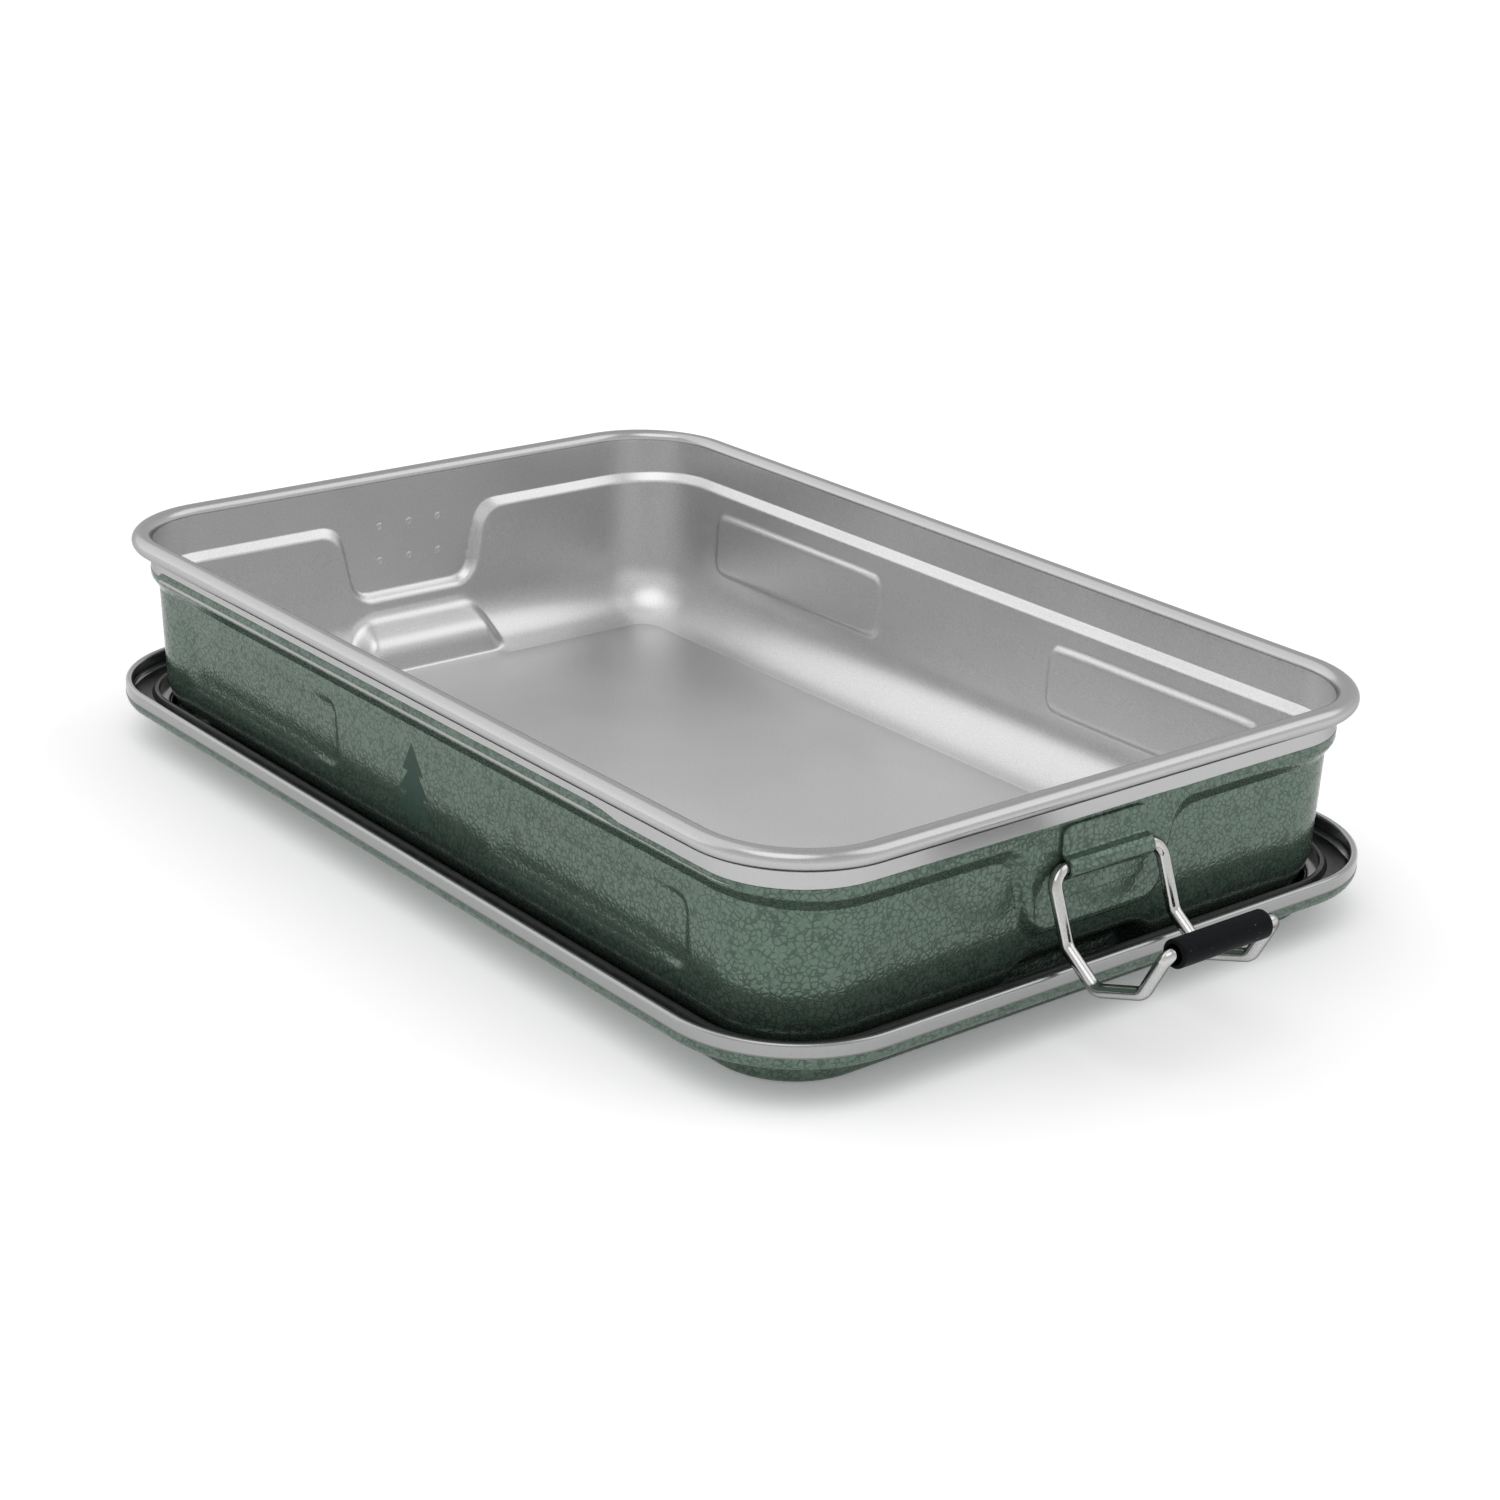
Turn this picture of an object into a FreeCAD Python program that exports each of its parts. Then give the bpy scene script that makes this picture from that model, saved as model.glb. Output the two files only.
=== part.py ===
import FreeCAD, Part
import math
import os
from FreeCAD import Vector

# Latching steel food box standing in its own upturned lid. Millimetres, +Z up.
# +X runs along the long side. The origin is the centre of the whole thing at the surface it stands on.
os.makedirs("parts", exist_ok=True)

# Box, measured over the rolled bead
BOX_LENGTH = 222.0
BOX_WIDTH = 146.0
BEAD_R = 2.1
BEAD_Z = 41.05
BEAD_END_DEG = -112.0
SHEET = 0.6
WALL_CORNER = 18.3
BOX_BASE_Z = 0.7
FLOOR_R = 13.0
SHOULDER_INSET = 1.4
SHOULDER_LOW_Z = 31.2
SHOULDER_TOP_Z = 34.2
WALL_SLOPE = math.radians(2.3)

# Flat on each short wall that carries the hinge plate
FLAT_TOP_Z = 34.0
FLAT_LOW_Z = 15.6
FLAT_TOP_HALF = 18.8
FLAT_LOW_HALF = 14.8
FLAT_CORNER = 4.0

# Two shallow pressed panels on each long wall
PANEL_NEAR_X = 26.0
PANEL_FAR_X = 82.0
PANEL_LOW_Z = 14.6
PANEL_TOP_Z = 28.0
PANEL_CORNER = 3.0
PANEL_DEPTH = 0.6

# Finger pocket under each short wall
POCKET_HALF = 18.0
POCKET_TOP_Z = 11.8
POCKET_DEPTH = 9.0
POCKET_CORNER = 5.0

# Wire bail: side profile as (x, z), from the hinge axis to the grip
WIRE_R = 1.2
HINGE_X = 108.75
HINGE_Z = 28.0
LEG_HALF = 12.6
KNEE_A = (113.3, 16.3)
KNEE_B = (120.6, 11.2)
KNEE_C = (130.9, 14.7)
GRIP_AXIS = (135.3, 22.9)
HINGE_BEND = 3.2
LEG_BEND = 3.0
GRIP_BEND = 1.5
GRIP_HALF = 10.4
GRIP_R = 2.5
GRIP_SLIDE = -0.7
GRIP_CLEARANCE = 0.02

# Hinge plate and its spot welds
PLATE = 0.7
PLATE_HALF = 9.7
PLATE_LOW_Z = 22.2
PLATE_TOP_Z = 35.0
PLATE_CORNER = 1.5
HINGE_CLEARANCE = 0.06
WELD_R = 0.8
WELD_ROWS = (23.6, 31.4)
WELD_COLUMNS = (-7.5, 0.0, 7.5)

# Lid, upturned
LID_LENGTH = 227.2
LID_WIDTH = 151.2
LID_CORNER = 24.6
LID_HEIGHT = 12.0
HEM_THICK = 1.3
HEM_LOW_Z = 9.2
LID_STEP_R = 2.4
LEDGE_Z = 6.8
TIER_INSET = 9.0
TIER_EDGE_R = 1.2
PANEL_EDGE_R = 2.4
GASKET_OUT = 1.4
GASKET_IN = 6.9
GASKET_TOP_Z = 9.5
GASKET_CHAMFER = 0.6
GASKET_GAP = 0.02

# Worked out from the values above
WALL_X = BOX_LENGTH / 2 - 2 * BEAD_R + SHEET
WALL_Y = BOX_WIDTH / 2 - 2 * BEAD_R + SHEET
LID_X = LID_LENGTH / 2
LID_Y = LID_WIDTH / 2
RIGHT_ANGLE = 90.0
ALONG_AXIS = 0.999


def point(n, z):
    """A profile point: n is the distance outwards, z the height."""
    return Vector(n, 0, z)


def line(a, b):
    return Part.LineSegment(point(*a), point(*b)).toShape()


def arc(centre, radius, start_deg, end_deg):
    """An arc of a profile, as three points on its circle."""
    middle_deg = (start_deg + end_deg) / 2
    places = []
    for degrees in (start_deg, middle_deg, end_deg):
        turn = math.radians(degrees)
        places.append(point(centre[0] + radius * math.cos(turn), centre[1] + radius * math.sin(turn)))
    return Part.Arc(*places).toShape()


def s_curve(a, b):
    """A smooth step that leaves a and reaches b upright."""
    reach = (b[1] - a[1]) * 0.55
    curve = Part.BezierCurve()
    curve.setPoles([point(*a), point(a[0], a[1] + reach), point(b[0], b[1] - reach), point(*b)])
    return curve.toShape()


def face_of(edges):
    return Part.Face(Part.Wire(edges))


def around(face, half_x, half_y, corner):
    """Carries a profile face round a rounded rectangle; n = 0 lies on its outline."""
    pieces = []
    along_x = 2 * (half_x - corner)
    along_y = 2 * (half_y - corner)
    for side in range(4):
        turn = RIGHT_ANGLE * side
        reach = half_x if side % 2 == 0 else half_y
        run = along_y if side % 2 == 0 else along_x
        piece = face.copy()
        piece.translate(Vector(reach, -run / 2, 0))
        straight = piece.extrude(Vector(0, run, 0))
        end = piece.copy()
        end.translate(Vector(0, run, 0))
        bend = end.revolve(Vector(reach - corner, run / 2, 0), Vector(0, 0, 1), RIGHT_ANGLE)
        for shape in (straight, bend):
            shape.rotate(Vector(0, 0, 0), Vector(0, 0, 1), turn)
            pieces.append(shape)
    return pieces


def joined(pieces):
    """One clean solid from pieces that share faces."""
    whole = pieces[0].multiFuse(pieces[1:])
    return whole.removeSplitter()


def filled(edges, half_x, half_y, corner, low_z, top_z):
    """A filled body: a profile from the corner's axis outwards, and the block between the corners."""
    pieces = around(face_of(edges), half_x, half_y, corner)
    core_x = half_x - corner
    core_y = half_y - corner
    core = Part.makeBox(2 * core_x, 2 * core_y, top_z - low_z, Vector(-core_x, -core_y, low_z))
    return joined(pieces + [core])


def box_profile(inset):
    """The box's section, filled, with its surface moved in by inset."""
    low_z = BOX_BASE_Z + inset
    radius = FLOOR_R - inset
    centre_z = BOX_BASE_Z + FLOOR_R
    foot_n = -SHOULDER_INSET - inset / math.cos(WALL_SLOPE)
    centre_n = -SHOULDER_INSET - (SHOULDER_LOW_Z - centre_z) * math.tan(WALL_SLOPE)
    centre_n -= FLOOR_R / math.cos(WALL_SLOPE)
    slope_deg = math.degrees(WALL_SLOPE)
    tangent = (centre_n + radius * math.cos(WALL_SLOPE), centre_z - radius * math.sin(WALL_SLOPE))
    shoulder_low = (foot_n, SHOULDER_LOW_Z)
    shoulder_top = (-inset, SHOULDER_TOP_Z)
    return [
        line((-WALL_CORNER, low_z), (centre_n, low_z)),
        arc((centre_n, centre_z), radius, -RIGHT_ANGLE, -slope_deg),
        line(tangent, shoulder_low),
        s_curve(shoulder_low, shoulder_top),
        line(shoulder_top, (-inset, BEAD_Z)),
        line((-inset, BEAD_Z), (-WALL_CORNER, BEAD_Z)),
        line((-WALL_CORNER, BEAD_Z), (-WALL_CORNER, low_z)),
    ]


def filled_box(inset):
    return filled(box_profile(inset), WALL_X, WALL_Y, WALL_CORNER, BOX_BASE_Z + inset, BEAD_Z)


def bead():
    """The rolled edge: an open curl that starts on the wall's top and ends under the bead."""
    centre = (BEAD_R - SHEET, BEAD_Z)
    inner = BEAD_R - SHEET
    end = math.radians(BEAD_END_DEG)
    tip_out = (centre[0] + BEAD_R * math.cos(end), centre[1] + BEAD_R * math.sin(end))
    tip_in = (centre[0] + inner * math.cos(end), centre[1] + inner * math.sin(end))
    curl = face_of([
        arc(centre, BEAD_R, 2 * RIGHT_ANGLE, BEAD_END_DEG),
        line(tip_out, tip_in),
        arc(centre, inner, BEAD_END_DEG, 2 * RIGHT_ANGLE),
        line((0.0, BEAD_Z), (-SHEET, BEAD_Z)),
    ])
    return around(curl, WALL_X, WALL_Y, WALL_CORNER)


def rounded_face(corners, radius):
    """A flat polygon with rounded corners."""
    edges = []
    starts = []
    count = len(corners)
    for index in range(count):
        here = corners[index]
        back = (corners[index - 1] - here).normalize()
        ahead = (corners[(index + 1) % count] - here).normalize()
        half = back.getAngle(ahead) / 2
        cut = radius / math.tan(half)
        to_centre = (back + ahead).normalize() * (radius / math.sin(half))
        middle = here + to_centre - to_centre.normalize() * radius
        starts.append((here + back * cut, middle, here + ahead * cut))
    for index in range(count):
        first, middle, last = starts[index]
        following = starts[(index + 1) % count][0]
        edges.append(Part.Arc(first, middle, last).toShape())
        edges.append(Part.LineSegment(last, following).toShape())
    return Part.Face(Part.Wire(edges))


def hinge_flat(grow, inner_x, outer_x):
    """The prism of the short wall's flat, with its outline moved out by grow."""
    low = FLAT_LOW_Z - grow
    corners = [
        Vector(inner_x, -FLAT_LOW_HALF - grow, low),
        Vector(inner_x, FLAT_LOW_HALF + grow, low),
        Vector(inner_x, FLAT_TOP_HALF + grow, FLAT_TOP_Z),
        Vector(inner_x, -FLAT_TOP_HALF - grow, FLAT_TOP_Z),
    ]
    corner = FLAT_CORNER + grow
    base = rounded_face(corners, corner)
    return base.extrude(Vector(outer_x - inner_x, 0, 0))


def panel(grow, depth):
    """One pressed panel of the front wall: everything outside its floor, moved out by grow."""
    floor_y = -(WALL_Y - SHOULDER_INSET - depth)
    near = PANEL_NEAR_X - grow
    far = PANEL_FAR_X + grow
    corners = [
        Vector(near, floor_y, PANEL_LOW_Z - grow),
        Vector(far, floor_y, PANEL_LOW_Z - grow),
        Vector(far, floor_y, PANEL_TOP_Z + grow),
        Vector(near, floor_y, PANEL_TOP_Z + grow),
    ]
    return rounded_face(corners, PANEL_CORNER + grow).extrude(Vector(0, -2 * PANEL_DEPTH - SHEET, 0))


def pocket(grow):
    """The finger pocket of the right-hand wall, moved out by grow."""
    inner_x = WALL_X - SHOULDER_INSET - POCKET_DEPTH - grow
    low_z = BOX_BASE_Z - 2 * SHEET
    block = Part.makeBox(
        2 * POCKET_DEPTH,
        2 * (POCKET_HALF + grow),
        POCKET_TOP_Z + grow - low_z,
        Vector(inner_x, -POCKET_HALF - grow, low_z),
    )
    rounded = []
    for edge in block.Edges:
        middle = edge.CenterOfMass
        on_inner_face = abs(middle.x - inner_x) < SHEET / 2
        on_underside = abs(middle.z - low_z) < SHEET / 2
        on_top_side = abs(middle.z - POCKET_TOP_Z - grow) < SHEET / 2 and abs(middle.y) > POCKET_HALF / 2
        if (on_inner_face and not on_underside) or on_top_side:
            rounded.append(edge)
    return block.makeFillet(POCKET_CORNER + grow, rounded)


def both_ends(shape):
    return [shape, turned(shape)]


def turned(shape):
    """The same shape at the other end."""
    copy = shape.copy()
    copy.rotate(Vector(0, 0, 0), Vector(0, 0, 1), 2 * RIGHT_ANGLE)
    return copy


def mirrored_x(shape):
    return shape.mirror(Vector(0, 0, 0), Vector(1, 0, 0))


def weld_pins(start_x, length):
    pins = []
    for weld_y in WELD_COLUMNS:
        for weld_z in WELD_ROWS:
            pins.append(Part.makeCylinder(WELD_R, length, Vector(start_x, weld_y, weld_z), Vector(1, 0, 0)))
    return pins


def box_shell():
    outer = filled_box(0.0)
    cavity = filled_box(SHEET)
    body = outer.cut(cavity)
    body = joined([body] + bead())
    wall_inner_x = WALL_X - SHOULDER_INSET - 2 * SHEET
    for sheet in both_ends(hinge_flat(0.0, wall_inner_x, WALL_X)):
        body = body.fuse(sheet.cut(cavity))
    hollow_start_x = WALL_X - SHOULDER_INSET - POCKET_DEPTH
    for hollow in both_ends(hinge_flat(-SHEET, hollow_start_x, WALL_X - SHEET)):
        body = body.cut(hollow)
    panel_skin = panel(SHEET, PANEL_DEPTH + SHEET)
    for skin in both_ends(panel_skin) + both_ends(mirrored_x(panel_skin)):
        body = body.fuse(skin.common(outer))
    panel_recess = panel(0.0, PANEL_DEPTH)
    for recess in both_ends(panel_recess) + both_ends(mirrored_x(panel_recess)):
        body = body.cut(recess)
    for skin in both_ends(pocket(SHEET)):
        body = body.fuse(skin.common(outer))
    for recess in both_ends(pocket(0.0)):
        body = body.cut(recess)
    for pin in weld_pins(WALL_X - 2 * SHEET, 4 * SHEET):
        for hole in both_ends(pin):
            body = body.cut(hole)
    return body.removeSplitter()


def hinge_plate():
    """The saddle: two flanges on the wall and a knuckle bent round the axle run."""
    inner = WIRE_R + HINGE_CLEARANCE
    outer = inner + PLATE
    width = 2 * PLATE_HALF
    flange = Part.makeBox(PLATE, width, PLATE_TOP_Z - PLATE_LOW_Z, Vector(WALL_X, -PLATE_HALF, PLATE_LOW_Z))
    corners = []
    for edge in flange.Edges:
        if abs(edge.tangentAt(edge.FirstParameter).x) > ALONG_AXIS:
            corners.append(edge)
    plate = flange.makeFillet(PLATE_CORNER, corners)
    reach = HINGE_X - WALL_X
    axle = (Vector(HINGE_X, -PLATE_HALF, HINGE_Z), Vector(0, 1, 0))
    neck = Part.makeBox(reach, width, 2 * outer, Vector(WALL_X, -PLATE_HALF, HINGE_Z - outer))
    knuckle = Part.makeCylinder(outer, width, *axle)
    slot = Part.makeBox(reach, width, 2 * inner, Vector(WALL_X, -PLATE_HALF, HINGE_Z - inner))
    behind = Part.makeBox(outer, width, 2 * outer, Vector(WALL_X - outer, -PLATE_HALF, HINGE_Z - outer))
    plate = plate.multiFuse([neck, knuckle])
    for hollow in [slot, behind, Part.makeCylinder(inner, width, *axle)] + weld_pins(WALL_X, 2 * PLATE):
        plate = plate.cut(hollow)
    return plate.removeSplitter()


def bend(corner, before, after, radius):
    """A bent stretch of wire at a corner, with the places where it meets the straight ones."""
    back = (before - corner).normalize()
    ahead = (after - corner).normalize()
    half = back.getAngle(ahead) / 2
    cut = radius / math.tan(half)
    start = corner + back * cut
    end = corner + ahead * cut
    centre = corner + (back + ahead).normalize() * (radius / math.sin(half))
    axis = (start - centre).cross(end - centre)
    turn = math.degrees((start - centre).getAngle(end - centre))
    disc = Part.Face(Part.Wire(Part.makeCircle(WIRE_R, start, back)))
    return disc.revolve(centre, axis, turn), start, end


def bail_wire():
    """The closed loop: axle run, two kneed legs and the run inside the grip."""
    profile = [(HINGE_X, HINGE_Z), KNEE_A, KNEE_B, KNEE_C, GRIP_AXIS]
    radii = [HINGE_BEND, LEG_BEND, LEG_BEND, LEG_BEND, GRIP_BEND]
    places = [Vector(x, LEG_HALF, z) for x, z in profile]
    places += [Vector(x, -LEG_HALF, z) for x, z in reversed(profile)]
    radii += list(reversed(radii))
    pieces = []
    starts = []
    ends = []
    count = len(places)
    for index in range(count):
        following = places[(index + 1) % count]
        shape, start, end = bend(places[index], places[index - 1], following, radii[index])
        pieces.append(shape)
        starts.append(start)
        ends.append(end)
    for index in range(count):
        run = starts[(index + 1) % count] - ends[index]
        pieces.append(Part.makeCylinder(WIRE_R, run.Length, ends[index], run))
    return joined(pieces)


def grip_sleeve():
    start = Vector(GRIP_AXIS[0], GRIP_SLIDE - GRIP_HALF, GRIP_AXIS[1])
    along = Vector(0, 1, 0)
    body = Part.makeCylinder(GRIP_R, 2 * GRIP_HALF, start, along)
    bore = Part.makeCylinder(WIRE_R + GRIP_CLEARANCE, 2 * GRIP_HALF, start, along)
    return body.cut(bore)


def lid_profile(inset):
    """The upturned lid's section, filled, with its surface moved in by inset."""
    step_centre = (-LID_STEP_R, HEM_LOW_Z)
    step_r = LID_STEP_R - inset
    ledge_z = LEDGE_Z + inset
    tier_n = -TIER_INSET - inset
    edge_centre = (-TIER_INSET - PANEL_EDGE_R, PANEL_EDGE_R)
    edge_r = PANEL_EDGE_R - inset
    turn_r = TIER_EDGE_R + inset
    turn_centre = (-TIER_INSET + TIER_EDGE_R, LEDGE_Z - TIER_EDGE_R)
    return [
        line((-LID_CORNER, inset), (edge_centre[0], inset)),
        arc(edge_centre, edge_r, -RIGHT_ANGLE, 0.0),
        line((tier_n, edge_centre[1]), (tier_n, turn_centre[1])),
        arc(turn_centre, turn_r, 2 * RIGHT_ANGLE, RIGHT_ANGLE),
        line((turn_centre[0], ledge_z), (step_centre[0], ledge_z)),
        arc(step_centre, step_r, -RIGHT_ANGLE, 0.0),
        line((-inset, HEM_LOW_Z), (-inset, LID_HEIGHT)),
        line((-inset, LID_HEIGHT), (-LID_CORNER, LID_HEIGHT)),
        line((-LID_CORNER, LID_HEIGHT), (-LID_CORNER, inset)),
    ]


def filled_lid(inset):
    return filled(lid_profile(inset), LID_X, LID_Y, LID_CORNER, inset, LID_HEIGHT)


def lid_shell():
    """The pressed lid; its edge is folded back into a round-topped hem."""
    crown_r = HEM_THICK / 2
    crown_z = LID_HEIGHT - crown_r
    hem = face_of([
        line((0.0, HEM_LOW_Z), (0.0, crown_z)),
        arc((-crown_r, crown_z), crown_r, 0.0, 2 * RIGHT_ANGLE),
        line((-HEM_THICK, crown_z), (-HEM_THICK, HEM_LOW_Z)),
        line((-HEM_THICK, HEM_LOW_Z), (0.0, HEM_LOW_Z)),
    ])
    pan = filled_lid(0.0).cut(filled_lid(SHEET))
    above = Part.makeBox(LID_LENGTH, LID_WIDTH, LID_HEIGHT, Vector(-LID_X, -LID_Y, HEM_LOW_Z))
    return joined([pan.cut(above)] + around(hem, LID_X, LID_Y, LID_CORNER))


def lid_gasket():
    """The seal on the lid's ledge, under the hem's line."""
    seat_z = LEDGE_Z + SHEET + GASKET_GAP
    seat_n = -LID_STEP_R - GASKET_GAP
    side_z = HEM_LOW_Z - GASKET_CHAMFER - GASKET_GAP
    corners = [
        (seat_n, seat_z),
        (-GASKET_IN, seat_z),
        (-GASKET_IN, GASKET_TOP_Z - GASKET_CHAMFER),
        (-GASKET_IN + GASKET_CHAMFER, GASKET_TOP_Z),
        (-GASKET_OUT, GASKET_TOP_Z),
        (-GASKET_OUT, side_z),
    ]
    edges = [line(corners[index - 1], corners[index]) for index in range(len(corners))]
    return joined(around(face_of(edges), LID_X, LID_Y, LID_CORNER))


def export(name, shape):
    print(name, "solids", len(shape.Solids), "valid", shape.isValid(), "volume", round(shape.Volume, 1))
    shape.exportStep("parts/" + name + ".step")


export("box_shell", box_shell())
export("lid_shell", lid_shell())
export("lid_gasket", lid_gasket())
end_pieces = {
    "hinge_plate": hinge_plate(),
    "bail_wire": bail_wire(),
    "grip_sleeve": grip_sleeve(),
    "spot_welds": Part.makeCompound(weld_pins(WALL_X - SHEET, SHEET + PLATE)),
}
for name, shape in end_pieces.items():
    export(name + "_right", shape)
    export(name + "_left", turned(shape))
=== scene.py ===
import math

import bmesh
import bpy
import numpy as np
from mathutils import Matrix, Vector

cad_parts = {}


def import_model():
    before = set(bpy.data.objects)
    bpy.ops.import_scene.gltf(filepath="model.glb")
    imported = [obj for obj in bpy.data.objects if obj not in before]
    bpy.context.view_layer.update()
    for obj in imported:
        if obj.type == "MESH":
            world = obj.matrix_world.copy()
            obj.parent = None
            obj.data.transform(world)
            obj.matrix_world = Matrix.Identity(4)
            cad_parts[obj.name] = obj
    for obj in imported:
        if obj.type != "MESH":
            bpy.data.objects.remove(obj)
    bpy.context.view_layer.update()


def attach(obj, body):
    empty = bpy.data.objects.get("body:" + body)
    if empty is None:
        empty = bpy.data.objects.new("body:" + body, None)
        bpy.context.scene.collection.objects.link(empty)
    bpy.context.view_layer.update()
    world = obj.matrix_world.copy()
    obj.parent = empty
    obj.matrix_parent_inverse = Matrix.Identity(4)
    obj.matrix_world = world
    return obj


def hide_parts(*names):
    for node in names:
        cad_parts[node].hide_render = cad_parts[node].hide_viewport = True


# A steel food box standing in its own upturned lid. Lengths below are millimetres; meshes are made in metres.
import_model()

MM = 0.001
SHEET = 0.6
FILM = 0.06
FILM_GAP = 0.01

# Box: half sizes of the wall's outer face, its corner, and its section
WALL_X, WALL_Y, WALL_CORNER = 107.4, 69.4, 18.3
BASE_Z, FLOOR_R = 0.7, 13.0
SHOULDER_INSET, SHOULDER_Z, SHOULDER_SOFT = 1.6, 32.5, 1.3
SHOULDER_LIFT, SHOULDER_REACH = 0.8, 2.2
SHOULDER_SOFT_INSIDE, FLAT_SOFT_INSIDE = 0.85, 0.65
WALL_SLOPE = math.radians(2.3)
BEAD_R, BEAD_TALL, BEAD_Z, BEAD_END = 2.1, 1.85, 41.3, math.radians(-112)
PAINT_Z, PAINT_WAVE = 35.6, 0.12
# The front wall's paint line steps up between these places, easing in and out over these lengths
PAINT_LIFT, PAINT_LIFT_X, PAINT_LIFT_EASE = 1.0, (-100.0, 64.0), (12.0, 4.0)
# The film's upper edge: how far under the line it starts, then its rows as (share of the way up, thickness)
PAINT_EDGE, PAINT_EDGE_ROWS = 1.2, [(0.6, 1.0), (0.9, 1.0), (0.99, 0.6), (1.0, 0.25)]
CREASE = math.radians(9)

# Pressed features of the walls
FLAT_LOW_Z, FLAT_LOW_HALF, FLAT_FLARE, FLAT_CORNER, FLAT_SOFT = 15.9, 14.8, 0.217, 4.0, 0.8
FLAT_BLEND = 5.0
PANEL_X, PANEL_Z = (26.0, 82.0), (14.6, 28.0)
PANEL_CORNER, PANEL_SOFT, PANEL_INSIDE, PANEL_OUTSIDE = 3.0, 0.7, 0.55, 0.5
# A panel's soft edges: how much softer they get, then each fade's start and length in the panel's half size
PANEL_FADE, FADE_HIGH, FADE_RIGHT, FADE_LEFT = 2.6, (0.1, 0.8), (-0.9, 0.3), (0.4, 0.5)
POCKET_TOP_Z = 13.4
POCKET_LOW_HALF, POCKET_TOP_HALF, POCKET_SOFT = 17.3, 12.6, 2.6
POCKET_SECTION = [(-10.7, 0.7), (-10.4, 2.3), (-10.1, 4.8), (-9.1, 7.3), (-6.5, 9.0), (-3.1, 10.6)]

# How finely the box is divided: places along its sides, closer in the bands round the pressed edges, and rows
LONG_STEP, LONG_FINE, LONG_BANDS = 4.2, 0.5, [(23.9, 27.9), (80.2, 84.2)]
SHORT_STEP, SHORT_FINE, SHORT_BANDS = 3.0, 0.55, [(9.5, 22.5)]
CORNER_STEPS = 20
LOW_ROWS, WALL_ROWS, SHOULDER_ROWS, BAND_ROWS = 32, 30, 18, 7
CREASE_ROW = 0.12
FLOOR_RINGS = [0.0, 0.3, 0.6, 0.85, 0.96, 0.99, 0.9985]

# Lid
LID_X, LID_Y, LID_CORNER, LID_TOP = 113.6, 75.6, 24.6, 12.0
LID_STEP_R, LEDGE_Z, TIER_N, TIER_EDGE_R, LID_EDGE_R = 2.4, 6.8, -9.0, 1.2, 2.4
HEM_THICK, HEM_LOW_Z, LID_PAINT_Z = 1.3, 9.5, 9.1
LID_STEP, LID_CORNER_STEPS = 6.0, 26
GASKET_SECTION = [(-6.9, 7.42), (-6.9, 8.9), (-6.6, 9.35), (-6.2, 9.5), (-5.8, 9.35), (-5.5, 8.9),
                  (-5.2, 8.35), (-2.6, 8.2), (-1.9, 8.3), (-1.5, 8.25), (-2.42, 7.42)]

# Bail: side profile of the wire as (x, z), its bends, and the grip
WIRE_R = 1.2
BAIL_SIDE = [(108.75, 28.0), (113.3, 16.3), (120.6, 11.2), (130.9, 14.7), (135.3, 22.9)]
BAIL_BENDS = [3.2, 3.0, 3.0, 3.0, 1.5]
BAIL_HALF = 12.6
BEND_STEPS, WIRE_SIDES, GRIP_SIDES = 10, 28, 56
GRIP_HALF, GRIP_R, GRIP_BORE, GRIP_MOUTH, GRIP_SLIDE = 10.4, 2.5, 1.22, 1.75, -0.7

# Hinge plate
PLATE, PLATE_HALF, PLATE_Z, PLATE_CORNER = 0.7, 9.7, (22.2, 35.0), 1.5
KNUCKLE_INNER = 1.26
WELDS = [(y, z) for y in (-7.5, 0.0, 7.5) for z in (23.6, 31.4)]
# Each weld mark's section: the distance from its middle, and the height above the wall
WELD_DISH = [(0.0, 0.0), (0.25, 0.02), (0.45, 0.08), (0.58, 0.11), (0.72, 0.07), (0.85, 0.0), (0.82, -0.3),
             (0.0, -0.3)]

# Tree print on the front wall: its middle, and each tier's foot, half width and tip
BADGE_X, BADGE_FOOT_Z = 0.6, 12.0
BADGE_TIERS = [(22.6, 3.4, 28.4), (18.3, 5.0, 24.6), (14.0, 6.4, 20.6)]
TRUNK_HALF, BADGE_TIP_HALF = 1.1, 0.12


# ---------------------------------------------------------------- mesh building

def smoothstep(t):
    return t * t * (3 - 2 * t)


def ramp01(value, start, length):
    """0 before start, then up to 1 over a length."""
    return np.clip((value - start) / length, 0, 1)


def smooth_mask(distance, soft):
    """1 well inside an outline, 0 well outside, from a signed distance."""
    return smoothstep(np.clip((soft - distance) / (2 * soft), 0, 1))


def crisp_mask(distance, soft):
    """Like smooth_mask, but with the straighter flank and tighter edges of a pressed step."""
    t = np.clip((soft - distance) / (2 * soft), 0, 1)
    return 0.85 * t + 0.15 * smoothstep(t)


def rounded_distance(side, low, corner):
    """Signed distance to two edges that meet in a rounded corner."""
    qx, qy = side + corner, low + corner
    outside = np.hypot(np.maximum(qx, 0), np.maximum(qy, 0))
    return outside + np.minimum(np.maximum(qx, qy), 0) - corner


def soft_union(a, b, blend):
    """The nearer of two distances, blended where they are close."""
    h = np.maximum(blend - np.abs(a - b), 0) / blend
    return np.minimum(a, b) - h * h * blend / 4


def spaced(length, coarse, fine, bands):
    """Places from -length to length, closer together inside the bands of |place|."""
    places = [0.0]
    while places[-1] < length - 1e-6:
        here = places[-1]
        step = coarse
        for low, high in bands:
            if low <= here < high:
                step = fine
            elif here < low:
                step = min(step, max(low - here, fine))
        places.append(min(here + step, length))
    if len(places) > 2 and places[-1] - places[-2] < fine / 2:
        places.pop(-2)
    half = np.array(places)
    return np.concatenate([-half[:0:-1], half])


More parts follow.
